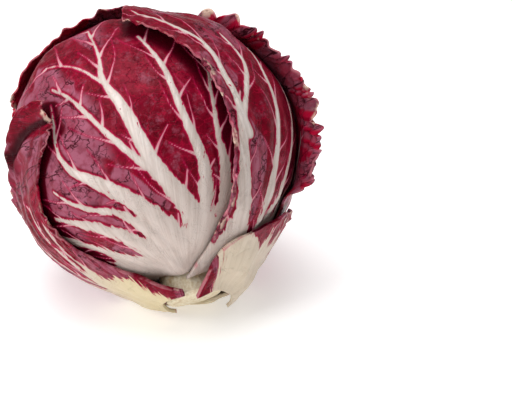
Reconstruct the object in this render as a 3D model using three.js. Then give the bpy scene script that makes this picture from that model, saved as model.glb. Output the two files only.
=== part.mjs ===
// A head of round red radicchio, as cut and trimmed for the kitchen, lying on its side.
// Millimetres, +Z up. The origin is on the surface it lies on, under the middle of the head.
// The head is built round its growth axis: a tight heart, a stem with a cut butt, and nine
// loose outer leaves that leave the stem one over the other and wrap the heart to its top.
import * as THREE from "three";

// Driving dimensions, in millimetres and degrees
const HEART_RADIUS = 57;
const STEM_DIP = 11.5; // the heart is narrower where the thick leaf feet pass it
const CROWN_DIP = 4; // and where the leaf ends lie over each other
const SINK = 0.7; // and it gives way by this share of what lies on it, so the head stays round
const SINK_START = 15; // degrees from the stem over which that share grows from nothing
const SINK_FULL = 60;
const STEM_RADIUS = 11.5;
const STEM_BUTT = 61; // from the middle of the heart to the cut face
const STEM_CONE_END = 26; // how far from the middle of the heart the stem's cone ends
const STEM_GAP = 0.4; // between the stem's cone and its socket
const FOOT_CLEARANCE = 1; // between the stem and the foot of a leaf
const FOOT_RADIUS = 47; // from the middle of the heart to the foot of the innermost leaf
const FOOT_STEP = 1.7; // and how much farther out each next foot is
const LIE_TILT = 44; // the stem's angle from straight down
const LIE_TURN = 20; // and how far it is turned from the front to the right
const FRONT_TURN = 19; // longitudes start this far from the axis's own vertical plane
const BLADE_THICKNESS = 0.8;
const FOOT_THICKNESS = 1.8;
const BLADE_GAP = 1.15; // between one leaf and the next
const FOOT_GAP = 0.7;
const FOOT_FADE = 17; // degrees of leaf over which a thick foot thins to the blade
const RIB_HEIGHT = 0.8;
const COVER_FADE = 12.5; // a leaf starts to rise this far before the edge that it passes over
const COVER_PAD = 3; // and has risen by this far from it
const OPEN_PAD = 5; // a free edge starts to open this far from the leaf that covers it
const FLAT_DEPTH = 1.3; // how far the head's weight presses in where it rests
const FLAT_FADE = 22; // height above the surface where that pressing has died away
const UNDULATION = 0.5;
const CORNER_DROP = 11; // degrees by which a leaf's tip rounds off at its corners
const SKIRT_END = 0.92; // share of a leaf's length where a skirt has died away
const SKIRT_FADE = 0.35;
const FREE_START = 24; // degrees from the stem where a leaf's edges start to come free
const FREE_FULL = 55;
const SLANT_START = 0.63; // share of a leaf's half width from which a slanted groove runs off

// Broad bulges and hollows of the whole head, each round a place given by its angle from the
// stem and its longitude, with its spread in degrees and its height in mm.
const BULGES = [
  { psi: 126, longitude: -43, spread: 26, height: 3.2 },
  { psi: 154, longitude: -25, spread: 18, height: 0.7 },
  { psi: 97, longitude: -76, spread: 22, height: -3.6 },
  { psi: 45, longitude: -70, spread: 28, height: -3.2 },
  { psi: 95, longitude: 84, spread: 22, height: 1.2 },
  { psi: 143, longitude: 24, spread: 20, height: 1.4 },
];

const DEG = Math.PI / 180;
const MM_PER_DEG = DEG * HEART_RADIUS;
const { sin, cos, sqrt, abs, min, max, exp, PI, atan2, asin, acos, floor } = Math;

// The growth axis from stem to top, and the two directions that longitudes are measured from.
const axis = new THREE.Vector3(
  -sin(LIE_TILT * DEG) * sin(LIE_TURN * DEG),
  sin(LIE_TILT * DEG) * cos(LIE_TURN * DEG),
  cos(LIE_TILT * DEG),
);
const level = new THREE.Vector3(cos(LIE_TURN * DEG), sin(LIE_TURN * DEG), 0);
const uphill = new THREE.Vector3().crossVectors(level, axis);
const front = uphill
  .clone()
  .multiplyScalar(cos(FRONT_TURN * DEG))
  .addScaledVector(level, -sin(FRONT_TURN * DEG));
const right = level
  .clone()
  .multiplyScalar(cos(FRONT_TURN * DEG))
  .addScaledVector(uphill, sin(FRONT_TURN * DEG));

// The leaves from the innermost to the outermost. Angles are degrees on the ball: centre is the
// longitude of the leaf's middle line, left and right are its half widths at five even steps
// from foot to tip, and reach is how far the tip comes at even steps from its left to its right.
// At a free edge, lift and flare open the leaf, a skirt opens its lower part more, and wave
// ruffles it, within zone of the edge; pitch is the length of a ruffle (mm). A fold buckles the
// leaf round the place at of its half width, with a lip, a groove and a swell (mm). A rib has a width
// (mm) and a route of places in the leaf, each the angle across from its middle line and the
// angle along it.
const LEAVES = [
  {
    name: "inner_leaf_left",
    centre: -125,
    left: [12, 40, 56, 54, 36],
    right: [12, 40, 56, 54, 36],
    reach: [150, 166, 150],
    edge: { lift: 0.5, flare: 1, zone: 14, wave: 1, pitch: 22 },
    grid: [14, 14],
  },
  {
    name: "inner_leaf_right",
    centre: 104,
    left: [12, 40, 58, 56, 36],
    right: [12, 40, 56, 54, 36],
    reach: [150, 168, 150],
    edge: { lift: 0.5, flare: 1, zone: 14, wave: 1, pitch: 22 },
    grid: [14, 14],
  },
  {
    name: "front_leaf",
    centre: -12,
    left: [13, 44, 66, 64, 40],
    right: [13, 40, 58, 56, 40],
    reach: [140, 154, 146],
    edge: { lift: 0.4, flare: 1, zone: 12, wave: 0.8, pitch: 18 },
    ribs: [
      { width: 4.4, route: [[8, 20], [16, 42], [14, 59], [9, 76], [4, 98], [1, 122], [-2, 136]] },
      { width: 3.1, route: [[9, 20], [23, 44], [28, 66], [26, 92], [22, 115], [17, 126]] },
      { width: 1.9, route: [[10, 20], [29, 42], [36, 62], [40, 86], [43, 110]] },
      { width: 3, route: [[7, 20], [12, 44], [10, 65], [0, 83], [-10, 100], [-18, 111]] },
      { width: 2.9, route: [[5, 20], [6, 42], [-2, 60], [-14, 72], [-23, 84], [-23, 104]] },
      { width: 2.2, route: [[2, 20], [0, 44], [-9, 57], [-21, 63], [-34, 73]] },
      { width: 2.6, route: [[-1, 20], [-4, 36], [-16, 50], [-30, 56], [-44, 60]] },
      { width: 2.2, route: [[-4, 18], [-10, 30], [-24, 40], [-40, 44], [-52, 50]] },
    ],
    grid: [24, 20],
  },
  {
    name: "right_leaf",
    centre: 55,
    left: [12, 20, 24, 29, 38],
    right: [13, 38, 50, 50, 34],
    reach: [152, 158, 148],
    edge: { lift: 2.4, flare: 1, zone: 12, wave: 0.5, pitch: 20 },
    ribs: [
      { width: 4.2, route: [[-3, 20], [-13, 44], [-18, 70], [-19, 96], [-21, 118], [-28, 138]] },
      { width: 2.8, route: [[-2, 20], [-10, 44], [-16, 76], [-10, 95], [-5, 109], [-7, 124]] },
      { width: 2.6, route: [[1, 20], [1, 50], [3, 81], [5, 103], [10, 126]] },
      { width: 2.4, route: [[3, 20], [8, 42], [18, 70], [24, 96], [26, 118]] },
      { width: 2.2, route: [[5, 20], [14, 40], [30, 60], [40, 84]] },
    ],
    grid: [20, 20],
  },
  {
    name: "ruffled_leaf",
    centre: 125,
    left: [12, 34, 46, 47, 44],
    right: [12, 40, 54, 54, 38],
    reach: [148, 162, 158],
    edge: { lift: 0.8, flare: 2.6, zone: 13, wave: 2, pitch: 14, skirt: 3.2 },
    grid: [20, 22],
  },
  {
    name: "rear_left_leaf",
    centre: -142,
    left: [12, 40, 56, 56, 40],
    right: [13, 36, 38, 34, 24],
    reach: [158, 160, 136],
    edge: { lift: 0.8, flare: 2, zone: 14, wave: 1.2, pitch: 17 },
    grid: [18, 20],
  },
  {
    name: "rear_leaf",
    centre: 178,
    left: [12, 38, 52, 50, 34],
    right: [12, 38, 52, 58, 50],
    reach: [186, 191, 196, 201, 206, 212, 205, 221, 228],
    edge: { lift: 0.3, flare: 0.3, zone: 12, wave: 0.9, pitch: 16 },
    fold: { at: -0.02, width: 0.28, lip: 1.4, groove: 9, slant: 0, swell: 0 },
    grid: [18, 22],
  },
  {
    name: "left_wrapper",
    centre: -105,
    left: [7, 14, 26, 36, 36],
    right: [14, 31, 47, 71, 67],
    reach: [84, 86, 86, 93, 143],
    edge: { lift: 0.5, flare: 0.9, zone: 10, wave: 0.6, pitch: 18 },
    fold: { at: 0.8, width: 0.3, lip: 4, groove: 4.5, slant: 38, swell: 2.2 },
    grid: [20, 16],
  },
  {
    name: "right_wrapper",
    centre: 92,
    left: [12, 22, 28, 27, 18],
    right: [7, 16, 26, 28, 18],
    reach: [46, 50, 42],
    edge: { lift: 0.2, flare: 0.2, zone: 10, wave: 0.8, pitch: 18 },
    grid: [16, 12],
  },
];

const clamp = (x, lo = 0, hi = 1) => min(hi, max(lo, x));
const smooth = (x) => {
  const t = clamp(x);
  return t * t * (3 - 2 * t);
};

// A smooth curve through evenly spaced values, read at t from 0 to 1.
function through(values, t) {
  const spans = values.length - 1;
  const i = min(spans - 1, floor(clamp(t) * spans));
  const f = clamp(t) * spans - i;
  const p1 = values[i];
  const p2 = values[i + 1];
  const p0 = i > 0 ? values[i - 1] : 2 * p1 - p2;
  const p3 = i < spans - 1 ? values[i + 2] : 2 * p2 - p1;
  const bend = 2 * p0 - 5 * p1 + 4 * p2 - p3;
  const turn = -p0 + 3 * p1 - 3 * p2 + p3;
  return 0.5 * (2 * p1 + (p2 - p0) * f + bend * f * f + turn * f * f * f);
}

// The unit direction at an angle psi from the stem and a longitude, both in degrees.
function ballDirection(psi, longitude) {
  return axis
    .clone()
    .multiplyScalar(-cos(psi * DEG))
    .addScaledVector(front, sin(psi * DEG) * cos(longitude * DEG))
    .addScaledVector(right, sin(psi * DEG) * sin(longitude * DEG));
}

// A leaf's own chart: along is the angle from the stem on its middle line, which may pass the
// top, and across is the angle to the side of that line.
function leafDirection(leaf, across, along) {
  const middle = ballDirection(along, leaf.centre);
  const side = ballDirection(90, leaf.centre + 90);
  return middle.multiplyScalar(cos(across * DEG)).addScaledVector(side, sin(across * DEG));
}

function leafAngles(leaf, direction) {
  const middle = ballDirection(90, leaf.centre);
  const side = ballDirection(90, leaf.centre + 90);
  const across = asin(clamp(direction.dot(side), -1, 1)) / DEG;
  const along = atan2(direction.dot(middle), -direction.dot(axis)) / DEG;
  return [across, along < -90 ? along + 360 : along];
}

// A leaf starts on the stem, farther out than the leaves under it.
function footAngle(leaf) {
  const radius = FOOT_RADIUS + FOOT_STEP * LEAVES.indexOf(leaf);
  return asin((STEM_RADIUS + FOOT_CLEARANCE) / radius) / DEG;
}

const halfWidth = (leaf, u, v) => through(u < 0 ? leaf.left : leaf.right, v);
const reach = (leaf, u) => through(leaf.reach, (u + 1) / 2) - CORNER_DROP * min(1, u ** 4);
const footLine = (leaf, u) => {
  const across = u * halfWidth(leaf, u, 0);
  return acos(min(1, cos(footAngle(leaf) * DEG) / cos(across * DEG))) / DEG;
};

// u runs from -1 at the leaf's left edge to 1 at its right, and v from 0 at its foot to 1.
function leafChart(leaf, u, v) {
  const start = footLine(leaf, u);
  return [u * halfWidth(leaf, u, v), start + v * (reach(leaf, u) - start)];
}

function leafShares(leaf, across, along) {
  let u = 0;
  let v = 0;
  for (let step = 0; step < 4; step++) {
    const start = footLine(leaf, u);
    v = (along - start) / (reach(leaf, u) - start);
    u = clamp(across / halfWidth(leaf, across, v), -1.6, 1.6);
  }
  return [u, v];
}

// How far inside the leaf's edge a place is, in mm, negative outside. The foot is no edge, but
// a leaf doesn't reach round the stem's far side.
function insideEdge(leaf, across, along) {
  const [u, v] = leafShares(leaf, across, along);
  const side = halfWidth(leaf, across, v) - abs(across);
  const tip = (1 - v) * reach(leaf, u);
  const farSide = along < 0 ? along : side;
  return MM_PER_DEG * min(side, tip, farSide);
}

const footShare = (along) => exp(-max(0, along - 15) / FOOT_FADE);
const mix = (a, b, share) => a + (b - a) * share;
const thickness = (along) => mix(BLADE_THICKNESS, FOOT_THICKNESS, footShare(along));
const gap = (along) => mix(BLADE_GAP, FOOT_GAP, footShare(along));

// Low swellings that all layers share, so that they stay nested.
function undulation(direction) {
  const { x, y, z } = direction;
  const swell = sin(5 * x + 2 * z + 1) + sin(6 * y - 3 * x + 2) + sin(7 * z + 4 * y);
  return (UNDULATION * swell) / 2;
}

const stemAngle = (direction) => acos(clamp(-direction.dot(axis), -1, 1)) / DEG;

// The radius the head would have with nothing lying on it.
function ballRadius(direction) {
  const psi = stemAngle(direction);
  const stemDip = STEM_DIP * exp(-((psi / 30) ** 2));
  const crownDip = CROWN_DIP * exp(-(((180 - psi) / 42) ** 2));
  let radius = HEART_RADIUS - stemDip - crownDip + undulation(direction);
  for (const { psi: bulgePsi, longitude, spread, height } of BULGES) {
    const away = acos(clamp(direction.dot(ballDirection(bulgePsi, longitude)), -1, 1)) / DEG;
    radius += height * exp(-((away / spread) ** 2));
  }
  return radius;
}

// What each leaf adds to the radius: its thickness and the gap over it, fading past its edge.
function layers(direction) {
  return LEAVES.map((leaf) => {
    const [across, along] = leafAngles(leaf, direction);
    const inside = insideEdge(leaf, across, along);
    const cover = smooth((inside + COVER_FADE + COVER_PAD) / COVER_FADE);
    return (thickness(along) + gap(along)) * cover;
  });
}

const total = (values) => values.reduce((sum, value) => sum + value, 0);

// The heart gives way under what lies on it, except round the stem.
function heartRadius(direction) {
  const share = SINK * smooth((stemAngle(direction) - SINK_START) / (SINK_FULL - SINK_START));
  return ballRadius(direction) - share * total(layers(direction));
}

// The radius over the heart and the first so many leaves, with the gap above them.
function stackRadius(count, direction) {
  return heartRadius(direction) + BLADE_GAP + total(layers(direction).slice(0, count));
}

// How far a place is from the nearest leaf that lies over a leaf, negative beneath one (mm).
function clearance(leaf, direction) {
  let clear = 90;
  for (const above of LEAVES.slice(LEAVES.indexOf(leaf) + 1)) {
    clear = min(clear, -insideEdge(above, ...leafAngles(above, direction)));
  }
  return clear;
}

// Ribs fan from the foot: the middle one runs straight to the tip and the others bow out.
const RIB_FAN = 3;
const RIB_SPREAD = 0.8;

function fanRibs(leaf) {
  const ribs = [];
  for (let k = -RIB_FAN; k <= RIB_FAN; k++) {
    const share = k / RIB_FAN;
    const start = [3 * share, 18];
    const end = leafChart(leaf, RIB_SPREAD * share, 0.93 - 0.42 * share * share);
    const bow = [0.55 * end[0], 0.58 * start[1] + 0.42 * end[1]];
    const route = [0, 0.25, 0.5, 0.75, 1].map((t) =>
      [0, 1].map((i) => (1 - t) ** 2 * start[i] + 2 * t * (1 - t) * bow[i] + t * t * end[i]),
    );
    ribs.push({ width: 3.6 - 1.6 * abs(share), route });
  }
  return ribs;
}

// The nearest place on the ribs, its distance in mm, and the rib's height and half width there,
// which both fall from foot to end.
function nearestRib(ribs, across, along) {
  let nearest = { distance: Infinity };
  const squeeze = cos(across * DEG);
  for (const { width, route } of ribs) {
    for (let i = 0; i < route.length - 1; i++) {
      const [ax, ay] = route[i];
      const dx = route[i + 1][0] - ax;
      const dy = (route[i + 1][1] - ay) * squeeze;
      const px = across - ax;
      const py = (along - ay) * squeeze;
      const t = clamp((px * dx + py * dy) / (dx * dx + dy * dy));
      const distance = MM_PER_DEG * sqrt((px - t * dx) ** 2 + (py - t * dy) ** 2);
      if (distance < nearest.distance) {
        const run = (i + t) / (route.length - 1);
        nearest = {
          distance,
          across: ax + t * dx,
          along: ay + (t * dy) / squeeze,
          halfWidth: width * (1 - 0.75 * run),
          height: RIB_HEIGHT * (1 - 0.6 * run),
        };
      }
    }
  }
  return nearest;
}

// Where a corner of the leaf has buckled: a lip near the tip, a groove that slants away from
// the tip, and a swell behind it. tip is the distance from the leaf's tip in mm.
function foldRise({ fold }, u, tip) {
  if (!fold) return 0;
  const window = exp(-(((u - fold.at) / fold.width) ** 2));
  const groove = fold.groove + fold.slant * max(0, u - SLANT_START);
  const lip = fold.lip * exp(-(((tip - 0.3 * groove) / (0.4 * groove)) ** 2));
  const swell = fold.swell * exp(-(((tip - 1.6 * groove) / (0.4 * groove)) ** 2));
  return window * (lip + swell);
}

// The rise of a leaf's free edges over its layer: lifted, flared and ruffled.
function edgeRise(leaf, u, v, along, inside) {
  const { lift, flare, zone, wave, pitch, skirt = 0 } = leaf.edge;
  const near = clamp(1 - inside / zone);
  const round = MM_PER_DEG * u * (halfWidth(leaf, u, 1) + reach(leaf, u) * (1 - v) * u * u);
  const phase = (2 * PI * round) / pitch;
  const ruffle = 0.5 + 0.5 * sin(phase + 1.3 * sin(0.37 * phase));
  const awayFromFoot = smooth((along - FREE_START) / (FREE_FULL - FREE_START));
  const opened = flare + skirt * smooth((SKIRT_END - v) / SKIRT_FADE);
  return awayFromFoot * (lift * near + opened * near ** 2 + wave * ruffle * near ** 1.5);
}

// Grid lines lie closer together towards the sides, the foot and the tip, where a leaf bends.
const acrossShare = (t) => 1.18 * t - 0.18 * t ** 3;
const alongShare = (t) => t - 0.035 * sin(2 * PI * t);
const RIB_PULL = 0.8;

// The two faces of a leaf as grids of points. Columns near a rib are drawn to its crest.
function leafFaces(leaf) {
  const [columns, rows] = leaf.grid;
  const ribs = leaf.ribs ?? fanRibs(leaf);
  const cell = (MM_PER_DEG * (leaf.left[2] + leaf.right[2])) / columns;
  const outer = [];
  const inner = [];
  for (let j = 0; j <= rows; j++) {
    for (let i = 0; i <= columns; i++) {
      const u = acrossShare((2 * i) / columns - 1);
      const v = alongShare(j / rows);
      let [across, along] = leafChart(leaf, u, v);
      let rib = nearestRib(ribs, across, along);
      const onEdge = i === 0 || i === columns || j === 0 || j === rows;
      if (!onEdge && rib.distance < cell) {
        const pull = RIB_PULL * (1 - rib.distance / cell) ** 1.5;
        across = mix(across, rib.across, pull);
        along = mix(along, rib.along, pull);
        rib = nearestRib(ribs, across, along);
      }
      const direction = leafDirection(leaf, across, along);
      const inside = max(0, insideEdge(leaf, across, along));
      const clear = clearance(leaf, direction);
      const open = smooth((clear - OPEN_PAD) / COVER_FADE);
      const tip = MM_PER_DEG * (1 - v) * reach(leaf, u);
      const rise = open * (edgeRise(leaf, u, v, along, inside) + foldRise(leaf, u, tip));
      const base = stackRadius(LEAVES.indexOf(leaf), direction) + rise;
      const ridge = clamp(clear / OPEN_PAD) * smooth(1 - rib.distance / (rib.halfWidth + 1.2));
      const crest = base + thickness(along) + rib.height * ridge;
      outer.push(direction.clone().multiplyScalar(crest));
      inner.push(direction.clone().multiplyScalar(base));
    }
  }
  return { outer, inner, columns, rows };
}

// The head's middle stands this high, so that its pressed-in underside is at zero.
const outerRadius = (direction) => stackRadius(LEAVES.length, direction) - BLADE_GAP;
const centreHeight = outerRadius(new THREE.Vector3(0, 0, -1)) - FLAT_DEPTH;

// Sets a point of the ball on the surface: where the outermost leaf would reach below zero, it
// and all that is over it are pressed up, less and less with height.
function settle(point) {
  const direction = point.clone().normalize();
  const lowest = centreHeight + outerRadius(direction) * direction.z;
  const height = centreHeight + point.z;
  const press = max(0, -lowest) * clamp(1 - (height - lowest) / FLAT_FADE);
  return new THREE.Vector3(point.x, point.y, max(0, height + press));
}

// One closed mesh from two faces of the same grid: both are split into triangles alike, and a
// strip joins their rims.
function sheetGeometry({ outer, inner, columns, rows }) {
  const wide = columns + 1;
  const count = outer.length;
  const index = [];
  const quad = (a, b, c, d) => index.push(a, b, c, a, c, d);
  for (let j = 0; j < rows; j++) {
    for (let i = 0; i < columns; i++) {
      const a = j * wide + i;
      quad(a, a + 1, a + wide + 1, a + wide);
      index.push(count + a, count + a + wide + 1, count + a + 1);
      index.push(count + a, count + a + wide, count + a + wide + 1);
    }
  }
  const rim = [];
  for (let i = 0; i < columns; i++) rim.push(i);
  for (let j = 0; j < rows; j++) rim.push(j * wide + columns);
  for (let i = columns; i > 0; i--) rim.push(rows * wide + i);
  for (let j = rows; j > 0; j--) rim.push(j * wide);
  rim.forEach((a, k) => {
    const b = rim[(k + 1) % rim.length];
    quad(b, a, count + a, count + b);
  });
  return solidGeometry([...outer, ...inner], index);
}

function solidGeometry(points, index) {
  const geometry = new THREE.BufferGeometry().setFromPoints(points.map(settle));
  geometry.setIndex(index);
  geometry.computeVertexNormals();
  return geometry;
}

function piece(name, geometry, color, roughness) {
  const material = new THREE.MeshStandardMaterial({ color, roughness });
  const mesh = new THREE.Mesh(geometry, material);
  mesh.name = name;
  return mesh;
}

const makeLeaf = (leaf) => piece(leaf.name, sheetGeometry(leafFaces(leaf)), 0x7c1230, 0.45);

// The radius of the stem at a height along the axis, from the middle of the heart: a butt that
// widens a little to the cut face, and a cone inside the heart.
const STEM_NECK = 41;
const CONE_HEIGHTS = [29, 34, STEM_NECK];

function stemRadius(height) {
  if (height > STEM_NECK) return STEM_RADIUS;
  return STEM_RADIUS * sqrt((height - STEM_CONE_END) / (STEM_NECK - STEM_CONE_END));
}

// A point at a height towards the stem, a radius from the axis and a longitude.
function axialPoint(height, radius, longitude) {
  return axis
    .clone()
    .multiplyScalar(-height)
    .addScaledVector(front, radius * cos(longitude * DEG))
    .addScaledVector(right, radius * sin(longitude * DEG));
}

// A closed ball-like mesh from rings of equal length between two end points.
function ringGeometry(startPoint, rings, endPoint) {
  const around = rings[0].length;
  const points = [startPoint, ...rings.flat(), endPoint];
  const last = points.length - 1;
  const index = [];
  for (let i = 0; i < around; i++) {
    const next = (i + 1) % around;
    index.push(0, 1 + next, 1 + i);
    index.push(last, last - around + i, last - around + next);
    for (let r = 0; r < rings.length - 1; r++) {
      const a = 1 + r * around + i;
      const b = 1 + r * around + next;
      index.push(a, b, b + around, a, b + around, a + around);
    }
  }
  return solidGeometry(points, index);
}

// The heart: a ball of tight leaves whose edges show as spiral steps, with a socket that the
// stem's cone fills.
const HEART_LEAVES = 5;
const HEART_STEP = 1.6;
const HEART_AROUND = 40;
const HEART_ROWS = 15;

function heartPoint(psi, longitude) {
  const direction = ballDirection(psi, longitude);
  const spiral = (longitude / 360) * HEART_LEAVES + psi / 150 + 0.3 * sin(2 * psi * DEG);
  const turn = spiral - floor(spiral);
  const step = HEART_STEP * sin(psi * DEG) * (1 - turn) * smooth(turn / 0.12);
  return direction.multiplyScalar(heartRadius(direction) - step);
}

function makeHeart() {
  const longitudes = Array.from({ length: HEART_AROUND }, (_, i) => (360 * i) / HEART_AROUND);
  const rings = CONE_HEIGHTS.map((height) =>
    longitudes.map((angle) => axialPoint(height, stemRadius(height) + STEM_GAP, angle)),
  );
  const firstRow = footAngle(LEAVES[0]) + 1.5;
  for (let row = 0; row < HEART_ROWS; row++) {
    const psi = mix(firstRow, 180, row / HEART_ROWS);
    rings.push(longitudes.map((angle) => heartPoint(psi, angle)));
  }
  const socketEnd = axialPoint(STEM_CONE_END - STEM_GAP, 0, 0);
  return piece("heart", ringGeometry(socketEnd, rings, heartPoint(180, 0)), 0x5e0c24, 0.5);
}

// The stem: smooth inside, ragged with leaf scars near the cut.
const STEM_AROUND = 20;
const STEM_SCAR = 0.5;
const BUTT_CHAMFER = 1.2;

function makeStem() {
  const scarred = [48, 54, STEM_BUTT - BUTT_CHAMFER];
  const rings = [...CONE_HEIGHTS, ...scarred, STEM_BUTT].map((height, row) => {
    const scar = scarred.includes(height) ? STEM_SCAR : 0;
    const chamfer = height === STEM_BUTT ? BUTT_CHAMFER : 0;
    return Array.from({ length: STEM_AROUND }, (_, i) => {
      const angle = (-360 * i) / STEM_AROUND;
      const radius = stemRadius(height) - chamfer - scar * (0.5 + 0.5 * sin(3 * angle * DEG + row));
      return axialPoint(height, radius, angle);
    });
  });
  const coneEnd = axialPoint(STEM_CONE_END, 0, 0);
  const cutFace = axialPoint(STEM_BUTT, 0, 0);
  return piece("stem", ringGeometry(coneEnd, rings, cutFace), 0xe6dcc6, 0.6);
}

const radicchio = new THREE.Group();
radicchio.add(makeHeart(), makeStem(), ...LEAVES.map(makeLeaf));

export default radicchio;
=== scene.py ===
# %% [markdown]
# # A head of red radicchio
# The CAD frame holds every leaf of the head as a coarse closed shell. This lesson dresses it:
# each leaf is worked out again from the same dimensions on a much finer grid, with the ribs,
# the veins between them, puckers, folds and a torn, ruffled margin, and then gets its colours.
# The frame stays where it is, so each new leaf lies exactly where its coarse one lies.

import bpy
import numpy as np
from mathutils import Matrix, Vector


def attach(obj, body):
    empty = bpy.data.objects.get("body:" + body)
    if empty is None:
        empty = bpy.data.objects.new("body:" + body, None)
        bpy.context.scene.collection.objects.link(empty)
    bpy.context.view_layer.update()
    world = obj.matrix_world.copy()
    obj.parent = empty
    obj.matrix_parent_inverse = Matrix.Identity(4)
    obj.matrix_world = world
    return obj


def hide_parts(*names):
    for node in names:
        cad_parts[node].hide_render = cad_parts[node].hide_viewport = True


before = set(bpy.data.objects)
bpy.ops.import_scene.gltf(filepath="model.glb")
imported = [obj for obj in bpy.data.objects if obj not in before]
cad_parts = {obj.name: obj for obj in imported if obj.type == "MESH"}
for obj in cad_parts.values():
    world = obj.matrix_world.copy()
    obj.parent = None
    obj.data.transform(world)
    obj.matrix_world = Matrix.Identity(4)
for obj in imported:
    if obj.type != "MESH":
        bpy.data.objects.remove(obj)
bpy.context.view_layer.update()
print("nodes", sorted(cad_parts))

# %% [markdown]
# ## The head's own axis
# A head grows round an axis from its stem to its top, and here it lies on its side. Every place
# on it is a direction from the middle of the head: the angle psi from the stem, and a longitude
# that is 0 at the front and grows to the right. Lengths are millimetres until a mesh is made.

# %% Directions on the ball
DEG = np.pi / 180
LIE_TILT = 44
LIE_TURN = 20
FRONT_TURN = 19
HEART_RADIUS = 57
MM_PER_DEG = HEART_RADIUS * DEG

AXIS = np.array([
    -np.sin(LIE_TILT * DEG) * np.sin(LIE_TURN * DEG),
    np.sin(LIE_TILT * DEG) * np.cos(LIE_TURN * DEG),
    np.cos(LIE_TILT * DEG),
])
LEVEL = np.array([np.cos(LIE_TURN * DEG), np.sin(LIE_TURN * DEG), 0])
UPHILL = np.cross(LEVEL, AXIS)
FRONT = UPHILL * np.cos(FRONT_TURN * DEG) - LEVEL * np.sin(FRONT_TURN * DEG)
RIGHT = LEVEL * np.cos(FRONT_TURN * DEG) + UPHILL * np.sin(FRONT_TURN * DEG)


def ball_direction(psi, longitude):
    """The unit direction at psi from the stem and a longitude:
    minus cos psi along the axis, and sin psi towards the longitude."""
    psi, longitude = np.broadcast_arrays(np.asarray(psi, float), np.asarray(longitude, float))
    psi, longitude = psi * DEG, longitude * DEG
    outward = np.cos(longitude)[..., None] * FRONT + np.sin(longitude)[..., None] * RIGHT
    return -np.cos(psi)[..., None] * AXIS + np.sin(psi)[..., None] * outward


def smooth(x):
    """Rises from 0 to 1 as x does, level at both ends."""
    t = np.clip(x, 0, 1)
    return t * t * (3 - 2 * t)


def mix(a, b, share):
    """a where share is 0 and b where it is 1."""
    return a + (b - a) * share


print("axis", AXIS.round(3), "front", FRONT.round(3))

# %% [markdown]
# ## The leaves as a list
# Each outer leaf is a patch of the ball with its own chart: "along" is the angle from the stem
# on the leaf's middle line, and "across" is the angle to the side of it. A leaf has a half width
# at five steps from foot to tip, and a reach at even steps from its left to its right. These are
# the values that the coarse shells are made from, but for the rear leaf's lift, which is 0.4 mm
# more here. New are the finer grids, the ribs with more points (each is across, along and half
# the rib's width in millimetres), and how much tooth, lobe, crimp, pleat and painted mauve sheen
# a leaf has, and how fast that painted sheen fades to the right and towards the tip.

# %% The leaf list, from the innermost to the outermost
LEAVES = [
    dict(name="inner_leaf_left", centre=-125, left=[12, 40, 56, 54, 36], right=[12, 40, 56, 54, 36],
         reach=[150, 166, 150], edge=dict(lift=0.5, flare=1, zone=14, wave=1, pitch=22),
         grid=(110, 110)),
    dict(name="inner_leaf_right", centre=104, left=[12, 40, 58, 56, 36], right=[12, 40, 56, 54, 36],
         reach=[150, 168, 150], edge=dict(lift=0.5, flare=1, zone=14, wave=1, pitch=22),
         grid=(110, 110)),
    dict(name="front_leaf", centre=-12, left=[13, 44, 66, 64, 40], right=[13, 40, 58, 56, 40],
         reach=[140, 154, 146], edge=dict(lift=0.4, flare=1, zone=12, wave=0.8, pitch=18),
         tooth=0.6, sheen=0.45, sheen_slope=1.1, grid=(230, 205)),
    dict(name="right_leaf", centre=55, left=[12, 20, 24, 29, 38], right=[13, 38, 50, 50, 34],
         reach=[152, 158, 148], edge=dict(lift=2.4, flare=1, zone=12, wave=0.5, pitch=20),
         tooth=0.25, sheen=0.4, pleat=0.45, grid=(170, 190)),
    dict(name="ruffled_leaf", centre=125, left=[12, 34, 46, 47, 44], right=[12, 40, 54, 54, 38],
         reach=[148, 162, 158],
         edge=dict(lift=0.8, flare=2.6, zone=13, wave=2.0, pitch=14, skirt=3.2),
         crimp=0.5, tooth=0.15, lobe=3, sheen=0.5, grid=(190, 240)),
    dict(name="rear_left_leaf", centre=-142, left=[12, 40, 56, 56, 40], right=[13, 36, 38, 34, 24],
         reach=[158, 160, 136], edge=dict(lift=0.8, flare=2, zone=14, wave=1.2, pitch=17),
         grid=(130, 140)),
    dict(name="rear_leaf", centre=178, left=[12, 38, 52, 50, 34], right=[12, 38, 52, 58, 50],
         reach=[186, 191, 196, 201, 206, 212, 205, 221, 228],
         edge=dict(lift=0.7, flare=0.3, zone=12, wave=0.9, pitch=16),
         fold=dict(at=-0.02, width=0.28, lip=1.4, groove=9, slant=0, swell=0),
         grid=(160, 190)),
    dict(name="left_wrapper", centre=-105, left=[7, 14, 26, 36, 36], right=[14, 31, 47, 71, 67],
         reach=[84, 86, 86, 93, 143], edge=dict(lift=0.5, flare=0.9, zone=10, wave=0.6, pitch=18),
         fold=dict(at=0.8, width=0.3, lip=4, groove=4.5, slant=38, swell=2.2),
         tooth=0.5, sheen=0.5, pleat=0.4, stout=0.6, grid=(190, 170)),
    dict(name="right_wrapper", centre=92, left=[12, 22, 28, 27, 18], right=[7, 16, 26, 28, 18],
         reach=[46, 50, 42], edge=dict(lift=0.2, flare=0.2, zone=10, wave=0.8, pitch=18),
         tooth=0.6, stout=0.6, grid=(120, 100)),
]
RANK = {leaf["name"]: rank for rank, leaf in enumerate(LEAVES)}

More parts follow.
